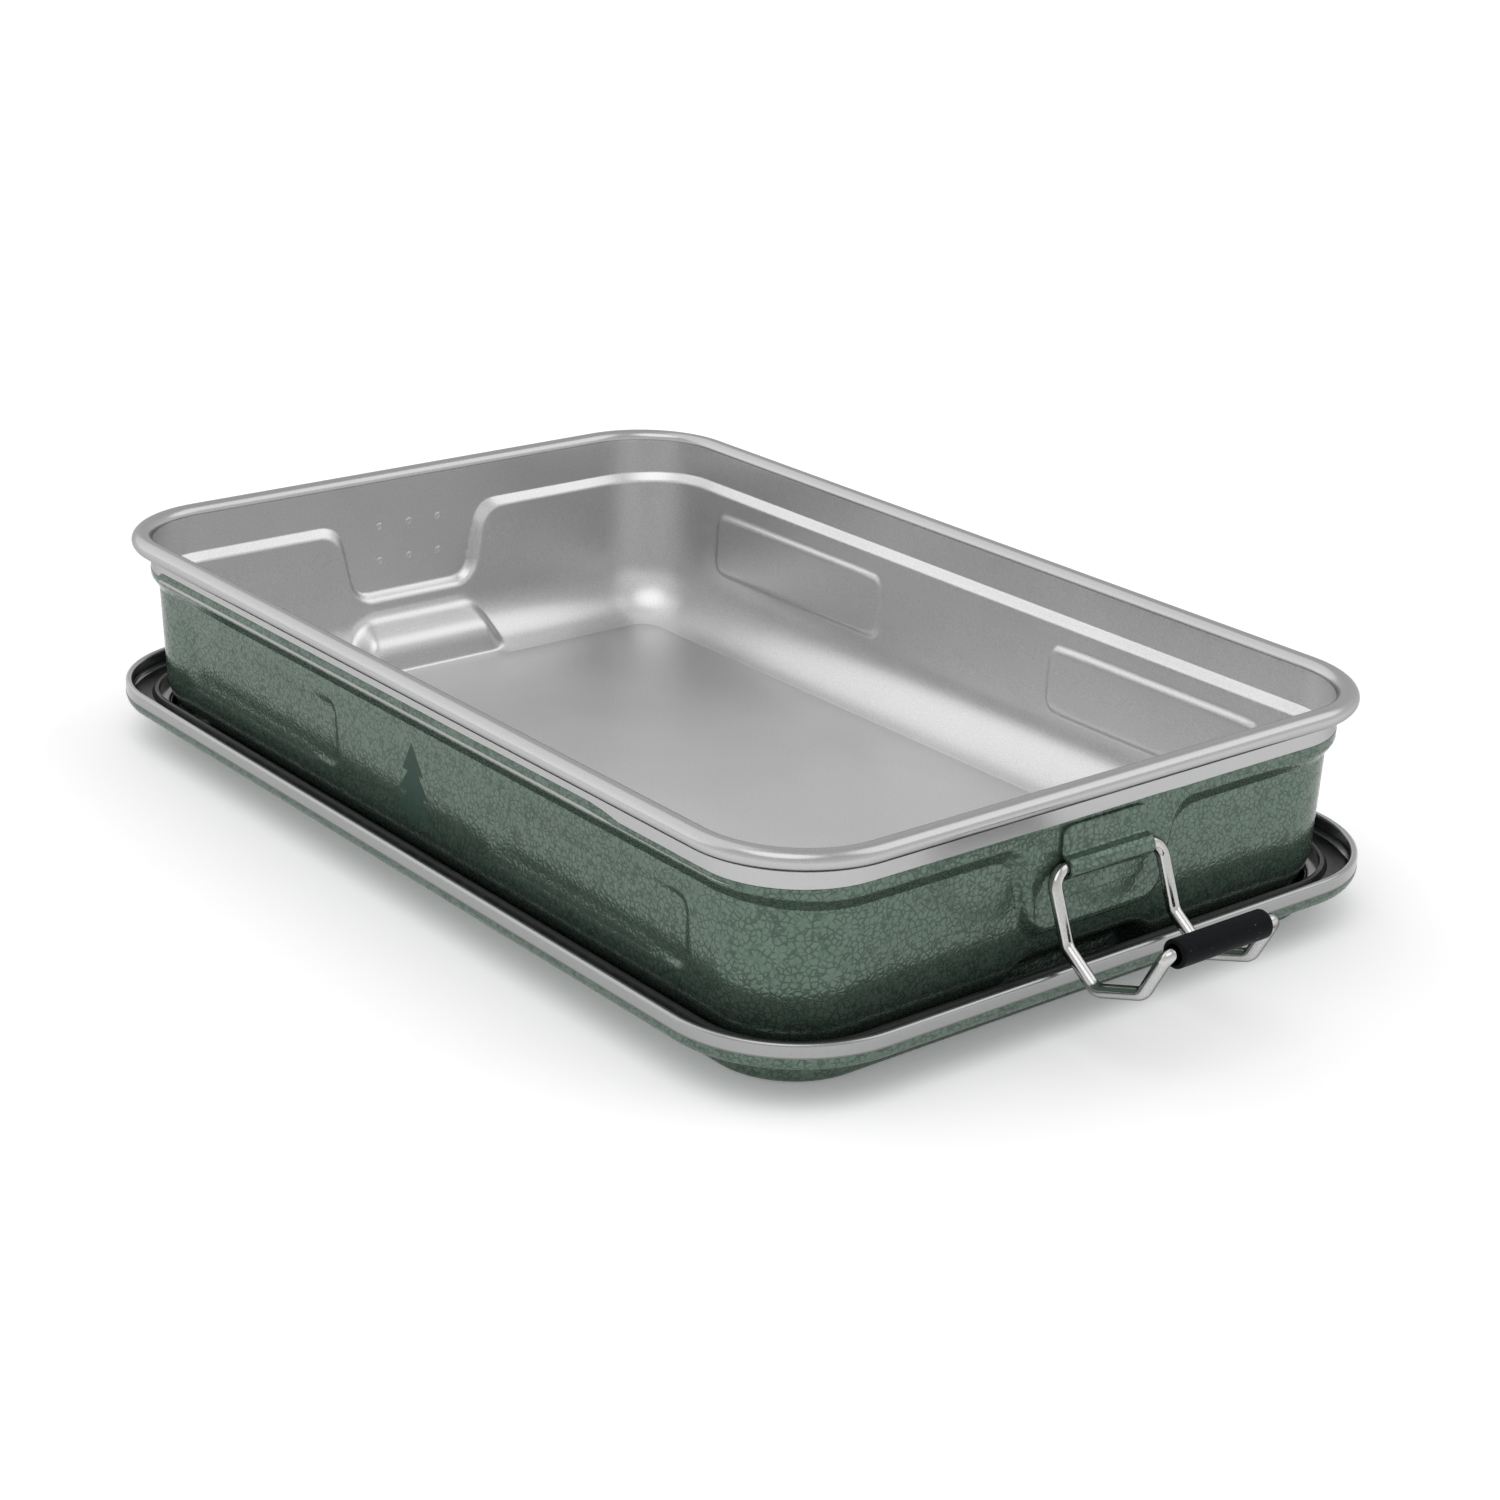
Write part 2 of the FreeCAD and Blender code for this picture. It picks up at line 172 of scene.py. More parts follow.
class Outline:
    """Stations round a rounded rectangle: base points, outward normals and the place along each side."""

    def __init__(self, half_x, half_y, corner, along_x, along_y, corner_steps):
        base, normal, side = [], [], []
        core_x, core_y = half_x - corner, half_y - corner
        runs = [
            [((half_x, y), (1, 0), "short") for y in along_y],
            [((x, half_y), (0, 1), "long") for x in along_x[::-1]],
            [((-half_x, y), (-1, 0), "short") for y in along_y[::-1]],
            [((x, -half_y), (0, -1), "long") for x in along_x],
        ]
        centres = [(core_x, core_y), (-core_x, core_y), (-core_x, -core_y), (core_x, -core_y)]
        for quarter, (run, centre) in enumerate(zip(runs, centres)):
            for place, out, kind in run:
                base.append(place)
                normal.append(out)
                side.append(kind)
            for k in range(1, corner_steps):
                turn = math.pi / 2 * (quarter + k / corner_steps)
                out = (math.cos(turn), math.sin(turn))
                base.append((centre[0] + corner * out[0], centre[1] + corner * out[1]))
                normal.append(out)
                side.append("corner")
        self.base = np.array(base)
        self.normal = np.array(normal)
        self.short = np.array([kind == "short" for kind in side])
        self.long = np.array([kind == "long" for kind in side])
        self.count = len(base)
        self.spine = max(half_x - half_y, 0)

    def place(self, n, z):
        """Rows of points (rows, stations, 3) from the distance outwards and the height."""
        n, z = np.broadcast_arrays(n, z)
        if n.ndim == 1:
            n = np.repeat(n[:, None], self.count, 1)
            z = np.repeat(z[:, None], self.count, 1)
        xy = self.base[None] + self.normal[None] * n[..., None]
        return np.concatenate([xy, z[..., None]], 2)

    def inward(self, ring, fractions):
        """Rings from the middle line of a floor out towards its edge ring."""
        middle = np.zeros_like(ring)
        middle[:, 0] = np.clip(ring[:, 0], -self.spine, self.spine)
        middle[:, 2] = ring[:, 2]
        return np.array([middle + (ring - middle) * f for f in fractions])


def grid_normals(rows):
    """Outward normals of rows of points that run round the outline and up the wall."""
    round_it = np.roll(rows, -1, 1) - np.roll(rows, 1, 1)
    up = np.gradient(rows, axis=0)
    normal = np.cross(round_it, up)
    return normal / np.maximum(np.linalg.norm(normal, axis=2, keepdims=True), 1e-12)


def finish_mesh(name, verts, faces, sharp_deg=40.0):
    mesh = bpy.data.meshes.new(name)
    mesh.from_pydata((np.asarray(verts) * MM).tolist(), [], faces)
    bm = bmesh.new()
    bm.from_mesh(mesh)
    bmesh.ops.remove_doubles(bm, verts=bm.verts, dist=1e-7)
    bmesh.ops.dissolve_degenerate(bm, edges=bm.edges, dist=1e-8)
    bmesh.ops.recalc_face_normals(bm, faces=bm.faces)
    bm.to_mesh(mesh)
    bm.free()
    mesh.shade_smooth()
    mesh.set_sharp_from_angle(angle=math.radians(sharp_deg))
    obj = bpy.data.objects.new(name, mesh)
    bpy.context.scene.collection.objects.link(obj)
    return obj


def loft(name, rows, closed, sharp_deg=40.0):
    """A surface through rings of points; closed joins the last ring to the first."""
    count, width = rows.shape[:2]
    faces = []
    for a in range(count if closed else count - 1):
        b = (a + 1) % count
        for s in range(width):
            t = (s + 1) % width
            faces.append((a * width + s, a * width + t, b * width + t, b * width + s))
    return finish_mesh(name, rows.reshape(-1, 3), faces, sharp_deg)


def arc_points(centre, radius, start, end, steps):
    turn = np.linspace(start, end, steps + 1)
    return np.stack([centre[0] + radius * np.cos(turn), centre[1] + radius * np.sin(turn)], 1)


def rounded_path(points, rounds, count):
    """An open path with its corners cut smooth, as evenly spaced points."""
    path = np.array(points, float)
    for _ in range(rounds):
        first = path[:-1] * 0.75 + path[1:] * 0.25
        second = path[:-1] * 0.25 + path[1:] * 0.75
        inner = np.stack([first, second], 1).reshape(-1, 2)
        path = np.concatenate([path[:1], inner, path[-1:]])
    return evenly(path, count)


def evenly(path, count):
    run = np.concatenate([[0], np.cumsum(np.linalg.norm(np.diff(path, axis=0), axis=1))])
    at = np.linspace(0, run[-1], count)
    return np.stack([np.interp(at, run, path[:, k]) for k in range(path.shape[1])], 1)


# ---------------------------------------------------------------- box

box_outline = Outline(
    WALL_X, WALL_Y, WALL_CORNER,
    spaced(WALL_X - WALL_CORNER, LONG_STEP, LONG_FINE, LONG_BANDS),
    spaced(WALL_Y - WALL_CORNER, SHORT_STEP, SHORT_FINE, SHORT_BANDS),
    CORNER_STEPS,
)


def wall_inset(z):
    """How far the plain wall stands in from the band at a height."""
    return -SHOULDER_INSET - (SHOULDER_Z - SHOULDER_SOFT - z) * math.tan(WALL_SLOPE)


def low_rows():
    """Rows from the floor's edge up to the pockets' top: distance outwards and height."""
    half_sheet = SHEET / 2
    centre_z = BASE_Z + FLOOR_R
    centre_n = wall_inset(centre_z) - FLOOR_R / math.cos(WALL_SLOPE)
    arc_r = FLOOR_R - half_sheet
    arc_z = BASE_Z + half_sheet + arc_r * math.cos(CREASE)
    low_arc = arc_points((centre_n, arc_z), arc_r, -math.pi / 2 + CREASE, -WALL_SLOPE, 40)
    foot = (low_arc[0][0] - 0.01, BASE_Z + half_sheet)
    head = (wall_inset(POCKET_TOP_Z) - half_sheet, POCKET_TOP_Z)
    plain = evenly(np.concatenate([[foot], low_arc, [head]]), LOW_ROWS)
    section = [foot] + [(n - half_sheet, z + half_sheet) for n, z in POCKET_SECTION] + [head]
    hollow = rounded_path(section, 3, LOW_ROWS)

    across = np.abs(box_outline.base[:, 1])[None]
    share = np.linspace(0, 1, LOW_ROWS)[:, None]
    half = POCKET_LOW_HALF + (POCKET_TOP_HALF - POCKET_LOW_HALF) * share ** 2
    mask = smooth_mask(across - half, POCKET_SOFT) * box_outline.short[None]
    low_n = plain[:, :1] * (1 - mask) + hollow[:, :1] * mask
    low_z = plain[:, 1:] * (1 - mask) + hollow[:, 1:] * mask
    close = 1 - CREASE_ROW
    return [np.insert(grid, 1, grid[0] * close + grid[1] * CREASE_ROW, axis=0) for grid in (low_n, low_z)]


def panel_press(z, fade):
    """How far each point of the long walls belongs to a panel; fade softens all edges but the right one."""
    along = box_outline.base[:, 0][None]
    half_x, half_z = (PANEL_X[1] - PANEL_X[0]) / 2, (PANEL_Z[1] - PANEL_Z[0]) / 2
    out_x = np.abs(np.abs(along) - sum(PANEL_X) / 2) - half_x
    out_z = np.abs(z - sum(PANEL_Z) / 2) - half_z
    place_x = (along - np.sign(along) * sum(PANEL_X) / 2) / half_x
    place_z = np.abs((z - sum(PANEL_Z) / 2) / half_z)
    faded = ramp01(place_z, *FADE_HIGH) * ramp01(-place_x, *FADE_RIGHT)
    faded = np.maximum(faded, ramp01(-place_x, *FADE_LEFT))
    press = smooth_mask(rounded_distance(out_x, out_z, PANEL_CORNER), PANEL_SOFT + fade * faded)
    return press * box_outline.long[None]


def wall_rows(panel_depth, panel_fade, shoulder_soft, flat_soft):
    """Rows from the pockets' top to the bead's root: distance outwards and height."""
    shoulder_z = SHOULDER_Z + SHOULDER_LIFT * box_outline.normal[:, 1][None] ** 2
    foot, head = SHOULDER_Z - SHOULDER_REACH, SHOULDER_Z + SHOULDER_SOFT + SHOULDER_LIFT
    wall_z = np.concatenate([
        np.linspace(POCKET_TOP_Z, foot, WALL_ROWS)[1:],
        np.linspace(foot, head, SHOULDER_ROWS)[1:],
        np.linspace(head, BEAD_Z, BAND_ROWS)[1:],
    ])
    z = np.repeat(wall_z[:, None], box_outline.count, 1)
    across = np.abs(box_outline.base[:, 1])[None]
    flat_side = (across - FLAT_LOW_HALF - (z - FLAT_LOW_Z) * FLAT_FLARE) * math.cos(math.atan(FLAT_FLARE))
    flat = rounded_distance(flat_side, FLAT_LOW_Z - z, FLAT_CORNER)
    top = shoulder_z - z
    step = np.where(box_outline.short[None], soft_union(flat, top, FLAT_BLEND), top)
    near_flat = np.clip((top - flat) / FLAT_BLEND, 0, 1) * box_outline.short[None]
    raised = crisp_mask(step, shoulder_soft + (flat_soft - shoulder_soft) * near_flat)
    n = wall_inset(np.minimum(z, head)) * (1 - raised) - SHEET / 2
    return n - panel_depth * panel_press(z, panel_fade), z


def box_rows(*press):
    """The middle of the box's sheet from the floor's edge to the bead's root, with its pressed features."""
    low_n, low_z = low_rows()
    wall_n, wall_z = wall_rows(*press)
    return box_outline.place(np.concatenate([low_n, wall_n]), np.concatenate([low_z, wall_z]))


def wandering(seed, depth):
    """A slow, seeded wave round the outline."""
    rng = np.random.default_rng(seed)
    turn = np.linspace(0, 2 * math.pi, box_outline.count, endpoint=False)
    wave = sum(rng.uniform(0.4, 1) * np.sin(k * turn + rng.uniform(0, 6.3)) for k in (2, 3, 5, 9, 14))
    return depth * wave / np.abs(wave).max()


skin = {}
for side, press in (
    (1, (PANEL_OUTSIDE, PANEL_FADE, SHOULDER_SOFT, FLAT_SOFT)),
    (-1, (PANEL_INSIDE, 0.0, SHOULDER_SOFT_INSIDE, FLAT_SOFT_INSIDE)),
):
    sheet = box_rows(*press)
    lean = grid_normals(sheet)
    lean[0] = (0, 0, -1)
    skin[side] = (sheet + side * lean * SHEET / 2, lean)
outer, lean = skin[1]
inner = skin[-1][0]
outer_all = np.concatenate([box_outline.inward(outer[0], FLOOR_RINGS), outer])
inner_floor = box_outline.inward(inner[0], FLOOR_RINGS)


def bead_curl():
    """The sheet curled outwards and down into the bead: its hidden face, its tip, then its outer face."""
    centre = (BEAD_R - SHEET, BEAD_Z)
    middle_r = BEAD_R - SHEET / 2
    tip_at = (centre[0] + middle_r * math.cos(BEAD_END), centre[1] + middle_r * math.sin(BEAD_END))
    under = arc_points(centre, BEAD_R - SHEET, math.pi, BEAD_END, 20)[1:]
    tip = arc_points(tip_at, SHEET / 2, BEAD_END + math.pi, BEAD_END + 2 * math.pi, 4)[1:-1]
    over = arc_points(centre, BEAD_R, BEAD_END, math.pi, 30)
    curl = np.concatenate([under, tip, over])
    curl[:, 1] = BEAD_Z + (curl[:, 1] - BEAD_Z) * BEAD_TALL / BEAD_R
    return box_outline.place(curl[:, 0], curl[:, 1])


box_surface = np.concatenate([outer_all, bead_curl(), inner[:-1][::-1], inner_floor[::-1]])
box_steel = loft("box_steel", box_surface, False, 50)


def paint_edge():
    """The height of the paint's upper edge round the box."""
    along = box_outline.base[:, 0]
    front = (box_outline.base[:, 1] < 0) & box_outline.long
    rise = ramp01(along, PAINT_LIFT_X[0], PAINT_LIFT_EASE[0])
    fall = ramp01(-along, -PAINT_LIFT_X[1], PAINT_LIFT_EASE[1])
    return PAINT_Z + wandering(4, PAINT_WAVE) + PAINT_LIFT * smoothstep(rise * fall) * front


def box_coat():
    """The box's enamel: a film outside, from the floor up to the paint line, with a feathered edge."""
    rows = int(np.sum(outer[:, 0, 2] < PAINT_Z - PAINT_EDGE))
    line = paint_edge()
    skins = []
    for height in (FILM + FILM_GAP, FILM_GAP):
        face = outer[:rows] + lean[:rows] * height
        last_z = face[-1, :, 2]
        edge = []
        for share, thin in PAINT_EDGE_ROWS:
            film = height if height == FILM_GAP else FILM_GAP + FILM * thin
            row_z = last_z + (line - last_z) * share
            edge.append(box_outline.place(np.full((1, box_outline.count), film), row_z[None])[0])
        skins.append(np.concatenate([box_outline.inward(face[0], FLOOR_RINGS), face, np.array(edge)]))
    return loft("box_enamel", np.concatenate([skins[0], skins[1][::-1]]), False, 50)


box_enamel = box_coat()


# ---------------------------------------------------------------- lid and gasket

lid_outline = Outline(
    LID_X, LID_Y, LID_CORNER,
    spaced(LID_X - LID_CORNER, LID_STEP, LID_STEP, []),
    spaced(LID_Y - LID_CORNER, LID_STEP, LID_STEP, []),
    LID_CORNER_STEPS,
)


def lid_section(inset):
    """The lid's section from the floor's edge to the hem, moved in by inset."""
    right = math.pi / 2
    edge = arc_points((TIER_N - LID_EDGE_R, LID_EDGE_R), LID_EDGE_R - inset, -right, 0, 10)
    turn = arc_points((TIER_N + TIER_EDGE_R, LEDGE_Z - TIER_EDGE_R), TIER_EDGE_R + inset, math.pi, right, 6)
    step = arc_points((-LID_STEP_R, LEDGE_Z + LID_STEP_R), LID_STEP_R - inset, -right, 0, 10)
    foot = [(TIER_N - LID_EDGE_R - 1.5, inset)]
    return np.concatenate([foot, edge, turn, step])


def lid_piece():
    """The lid's sheet, inside and outside, with its hemmed edge."""
    outside = lid_section(0.0)
    inside = lid_section(SHEET)
    crown = (-HEM_THICK / 2, LID_TOP - HEM_THICK / 2)
    hem = np.concatenate([
        [(0.0, LID_PAINT_Z + 0.6), (0.0, LID_PAINT_Z + 1.2)],
        arc_points(crown, HEM_THICK / 2, 0, math.pi, 12),
        [(-HEM_THICK, HEM_LOW_Z + 0.15), (-HEM_THICK + 0.12, HEM_LOW_Z), (-SHEET - 0.1, HEM_LOW_Z)],
        [(-SHEET, HEM_LOW_Z - 0.1)],
    ])
    section = np.concatenate([outside, hem, inside[::-1]])
    rows = lid_outline.place(section[:, 0], section[:, 1])
    under = lid_outline.inward(rows[0], FLOOR_RINGS)
    above = lid_outline.inward(rows[-1], FLOOR_RINGS)
    return loft("lid_steel", np.concatenate([under, rows, above[::-1]]), False, 50)


def lid_coat():
    """The lid's enamel: a film outside, up to just under the hem."""
    skins = []
    for height in (FILM + FILM_GAP, FILM_GAP):
        edge = [(height, LID_PAINT_Z + 0.2), (height / 3, LID_PAINT_Z + 0.3)]
        face = np.concatenate([lid_section(-height), edge])
        rows = lid_outline.place(face[:, 0], face[:, 1])
        skins.append(np.concatenate([lid_outline.inward(rows[0], FLOOR_RINGS), rows]))
    return loft("lid_enamel", np.concatenate([skins[0], skins[1][::-1]]), False, 50)


lid_steel = lid_piece()
lid_enamel = lid_coat()
seal = np.array(GASKET_SECTION)
gasket = loft("gasket_ring", lid_outline.place(seal[:, 0], seal[:, 1]), True, 30)


# ---------------------------------------------------------------- bail, grip and hinge plate

def tube(path, radius, sides):
    """Rings of a round bar along a closed path of points."""
    count = len(path)
    ahead = np.roll(path, -1, 0) - np.roll(path, 1, 0)
    ahead /= np.linalg.norm(ahead, axis=1, keepdims=True)
    up = np.cross(ahead[0], (0, 0, 1.0))
    up /= np.linalg.norm(up)
    turn = np.linspace(0, 2 * math.pi, sides, endpoint=False)
    rows = []
    for k in range(count):
        up = up - ahead[k] * np.dot(up, ahead[k])
        up /= np.linalg.norm(up)
        other = np.cross(ahead[k], up)
        rows.append(path[k] + radius * (np.cos(turn)[:, None] * up + np.sin(turn)[:, None] * other))
    return np.array(rows)


def bent_loop(corners, radii, steps):
    """A closed path with an arc at each corner."""
    path = []
    count = len(corners)
    for index in range(count):
        here = Vector(corners[index])
        back = (Vector(corners[index - 1]) - here).normalized()
        ahead = (Vector(corners[(index + 1) % count]) - here).normalized()
        half = back.angle(ahead) / 2
        centre = here + (back + ahead).normalized() * (radii[index] / math.sin(half))
        start = here + back * (radii[index] / math.tan(half)) - centre
        end = here + ahead * (radii[index] / math.tan(half)) - centre
        axis = start.cross(end)
        sweep = start.angle(end)
        for k in range(steps + 1):
            path.append(centre + Matrix.Rotation(sweep * k / steps, 3, axis) @ start)
    return np.array(path)


def bail(name, sign):
    corners = [(x, BAIL_HALF, z) for x, z in BAIL_SIDE]
    corners += [(x, -BAIL_HALF, z) for x, z in reversed(BAIL_SIDE)]
    path = bent_loop(corners, BAIL_BENDS + BAIL_BENDS[::-1], BEND_STEPS)
    path[:, :2] *= sign
    return loft(name, tube(path, WIRE_R, WIRE_SIDES), True, 60)


def grip(name, sign):
    """The sleeve: rounded outer edges and a bore that opens at both ends."""
    edge, lip = 0.45, 0.2
    half = [
        (0.0, GRIP_R), (GRIP_HALF * 0.5, GRIP_R), (GRIP_HALF - 2 * edge, GRIP_R),
        *arc_points((GRIP_HALF - edge, GRIP_R - edge), edge, math.pi / 2, 0, 6).tolist(),
        *arc_points((GRIP_HALF - lip, GRIP_MOUTH + lip), lip, 0, -math.pi / 2, 4).tolist(),
        (GRIP_HALF - 0.9, GRIP_MOUTH - 0.06), (GRIP_HALF - 1.6, GRIP_BORE + 0.12),
        (GRIP_HALF - 2.3, GRIP_BORE), (0.0, GRIP_BORE),
    ]
    section = half + [(-y, r) for y, r in reversed(half[1:-1])]
    centre_x, centre_z = BAIL_SIDE[-1]
    turn = np.linspace(0, 2 * math.pi, GRIP_SIDES, endpoint=False)
    rows = []
    for y, r in section:
        along = np.full(turn.shape, y + GRIP_SLIDE)
        rows.append(np.stack([centre_x + r * np.cos(turn), along, centre_z + r * np.sin(turn)], 1))
    rows = np.array(rows)
    rows[:, :, :2] *= sign
    return loft(name, rows, True, 50)


def plate_half(z):
    """Half the plate's width at a height: its four corners are rounded."""
    depth = max(PLATE_CORNER - min(z - PLATE_Z[0], PLATE_Z[1] - z), 0)
    return PLATE_HALF - PLATE_CORNER + math.sqrt(max(PLATE_CORNER ** 2 - depth ** 2, 0))


def plate_section():
    """The plate's section from its foot to its top, as the outer and the wall side, in (x, z)."""
    axle_x, axle_z = BAIL_SIDE[0]
    reach = KNUCKLE_INNER + PLATE
    fillet = 1.0
    face_x = WALL_X + FILM + 2 * FILM_GAP + PLATE
    offset = face_x + fillet - axle_x
    drop = math.sqrt((reach + fillet) ** 2 - offset ** 2)
    meet = math.atan2(drop, offset)
    low, high = (face_x + fillet, axle_z - drop), (face_x + fillet, axle_z + drop)
    outer_path = [(face_x, z) for z in np.linspace(PLATE_Z[0], axle_z - drop, 14)[:-1]]
    outer_path += arc_points(low, fillet, math.pi, math.pi - meet, 6).tolist()
    outer_path += arc_points((axle_x, axle_z), reach, -meet, meet, 24).tolist()[1:]
    outer_path += arc_points(high, fillet, math.pi + meet, math.pi, 6).tolist()[1:]
    outer_path += [(face_x, z) for z in np.linspace(axle_z + drop, PLATE_Z[1], 14)[1:]]
    outer_path = np.array(outer_path)
    along = np.gradient(outer_path, axis=0)
    along /= np.linalg.norm(along, axis=1, keepdims=True)
    inward = np.stack([-along[:, 1], along[:, 0]], 1)
    return outer_path, outer_path + inward * PLATE


def hinge_plate(name, sign):
    outside, inside = plate_section()
    columns = 12
    verts, faces = [], []
    count = len(outside)
    for path in (outside, inside):
        for (x, z), (_, z_out) in zip(path, outside):
            half = plate_half(z_out)
            for k in range(columns + 1):
                verts.append((x * sign, half * (2 * k / columns - 1) * sign, z))
    width = columns + 1
    back = count * width
    for r in range(count - 1):
        for c in range(columns):
            a = r * width + c
            faces.append((a, a + 1, a + width + 1, a + width))
            faces.append((back + a, back + a + width, back + a + width + 1, back + a + 1))
        for c in (0, columns):
            a = r * width + c
            faces.append((a, a + width, back + a + width, back + a))
    for r in (0, count - 1):
        for c in range(columns):
            a = r * width + c
            faces.append((a, a + 1, back + a + 1, back + a))
    obj = finish_mesh(name, verts, faces, 35)
    bevel = obj.modifiers.new("soft_edges", "BEVEL")
    bevel.width = 0.16 * MM
    bevel.segments = 2
    bevel.limit_method = "ANGLE"
    bevel.angle_limit = math.radians(40)
    return obj


def weld_marks(name, sign):
    """The six spot welds: each a shallow dished mark with a raised lip on the inside of the wall."""
    sides = 20
    verts, faces = [], []
    for y, z in WELDS:
        start = len(verts)
        for radius, high in WELD_DISH:
            for k in range(sides):
                turn = 2 * math.pi * k / sides
                x = WALL_X - SHEET - high
                verts.append((x * sign, (y + radius * math.cos(turn)) * sign, z + radius * math.sin(turn)))
        for r in range(len(WELD_DISH) - 1):
            for k in range(sides):
                a, b = start + r * sides + k, start + r * sides + (k + 1) % sides
                faces.append((a, b, b + sides, a + sides))
    return finish_mesh(name, verts, faces, 50)


def tree_badge():
    """A plain pine-tree print on the front wall."""
    verts, faces = [], []

    def half_width(z):
        wide = 0.0
        for foot, half, tip in BADGE_TIERS:
            if foot <= z <= tip:
                wide = max(wide, half * (tip - z) / (tip - foot))
        if z < BADGE_TIERS[-1][0]:
            wide = TRUNK_HALF
        return max(wide, BADGE_TIP_HALF)

    levels = []
    for z in np.arange(BADGE_FOOT_Z, BADGE_TIERS[0][2] + 0.01, 0.2):
        levels.append((z, half_width(z)))
    for foot, _, _ in BADGE_TIERS:
        levels.append((foot - 0.001, half_width(foot - 0.001)))
        levels.append((foot + 0.001, half_width(foot + 0.001)))
    levels.sort()
    for lift in (FILM + FILM_GAP + 0.03, FILM_GAP + 0.02):
        for z, wide in levels:
            y = -(WALL_Y + wall_inset(z) + lift)
            verts.append((BADGE_X - wide, y, z))
            verts.append((BADGE_X + wide, y, z))
    count = len(levels)
    back = 2 * count
    for r in range(count - 1):
        a = 2 * r
        faces.append((a, a + 1, a + 3, a + 2))
        faces.append((back + a, back + a + 2, back + a + 3, back + a + 1))
        faces.append((a, a + 2, back + a + 2, back + a))
        faces.append((a + 1, back + a + 1, back + a + 3, a + 3))
    for r in (0, count - 1):
        a = 2 * r
        faces.append((a, a + 1, back + a + 1, back + a))
    return finish_mesh("tree_badge", verts, faces, 30)


# ---------------------------------------------------------------- materials

class Nodes:
    """A small helper for building one material's node tree."""

    def __init__(self, name):
        self.material = bpy.data.materials.new(name)
        self.material.use_nodes = True
        self.tree = self.material.node_tree
        self.tree.nodes.clear()
        self.shader = self.add("ShaderNodeBsdfPrincipled")
        out = self.add("ShaderNodeOutputMaterial")
        self.link(self.shader.outputs["BSDF"], out.inputs["Surface"])
        self.place = self.add("ShaderNodeTexCoord").outputs["Object"]

    def add(self, kind, **values):
        node = self.tree.nodes.new(kind)
        for key, value in values.items():
            setattr(node, key, value)
        return node

    def link(self, a, b):
        self.tree.links.new(a, b)

    def noise(self, scale, detail=2.0, rough=0.5, place=None):
        node = self.add("ShaderNodeTexNoise")
        node.inputs["Scale"].default_value = scale
        node.inputs["Detail"].default_value = detail
        node.inputs["Roughness"].default_value = rough
        self.link(place or self.place, node.inputs["Vector"])
        return node.outputs["Fac"]

    def ramp(self, value, low, high, to_low=0.0, to_high=1.0):
        node = self.add("ShaderNodeMapRange")
        node.interpolation_type = "SMOOTHSTEP"
        for key, number in (("From Min", low), ("From Max", high), ("To Min", to_low), ("To Max", to_high)):
            node.inputs[key].default_value = number
        self.link(value, node.inputs["Value"])
        return node.outputs["Result"]

    def maths(self, operation, a, b):
        node = self.add("ShaderNodeMath", operation=operation)
        for socket, value in zip(node.inputs, (a, b)):
            if isinstance(value, (int, float)):
                socket.default_value = value
            else:
                self.link(value, socket)
        return node.outputs["Value"]

    def mix(self, share, a, b):
        node = self.add("ShaderNodeMix", data_type="RGBA")
        self.link(share, node.inputs["Factor"])
        for key, value in (("A", a), ("B", b)):
            socket = [s for s in node.inputs if s.name == key and s.type == "RGBA"][0]
            if isinstance(value, tuple):
                socket.default_value = (*value, 1.0)
            else:
                self.link(value, socket)
        return [s for s in node.outputs if s.type == "RGBA"][0]

    def bump(self, value, distance, strength=1.0, under=None):
        node = self.add("ShaderNodeBump")
        node.inputs["Distance"].default_value = distance
        node.inputs["Strength"].default_value = strength
        self.link(value, node.inputs["Height"])
        if under is not None:
            self.link(under, node.inputs["Normal"])
        return node.outputs["Normal"]

    def settle(self, **values):
        for key, value in values.items():
            socket = self.shader.inputs[key.replace("_", " ")]
            if isinstance(value, (int, float)):
                socket.default_value = value
            elif isinstance(value, tuple):
                socket.default_value = (*value, 1.0)
            else:
                self.link(value, socket)
        return self.material


def steel_material(name, tone, rough, grain_height, grain_scale=3100.0, edge=1.0, spread=0.12):
    """Satin stainless steel: fine even grain and very faint cloudy rubbing."""
    m = Nodes(name)
    grain = m.noise(grain_scale, 2.0, 0.65)
    cloud = m.noise(26.0, 3.0, 0.5)
    dark = tuple(c * (1 - spread) for c in tone)
    light = tuple(min(c * (1 + spread), 1.0) for c in tone)
    share = m.maths("ADD", m.ramp(grain, 0.3, 0.7, 0.0, 0.7), m.ramp(cloud, 0.3, 0.7, 0.0, 0.3))
    shade = m.mix(share, dark, light)
    rubbed = m.ramp(cloud, 0.25, 0.75, rough - 0.02, rough + 0.02)
    finish = m.maths("ADD", rubbed, m.ramp(grain, 0.3, 0.7, -spread / 3, spread / 3))
    m.settle(Base_Color=shade, Metallic=1.0, Roughness=finish, Normal=m.bump(grain, grain_height))
    # An edge tint below 1 darkens the glancing reflections: painted dark reflections on the bead and the
    # wire.
    return m.settle(Specular_Tint=(edge, edge, edge))


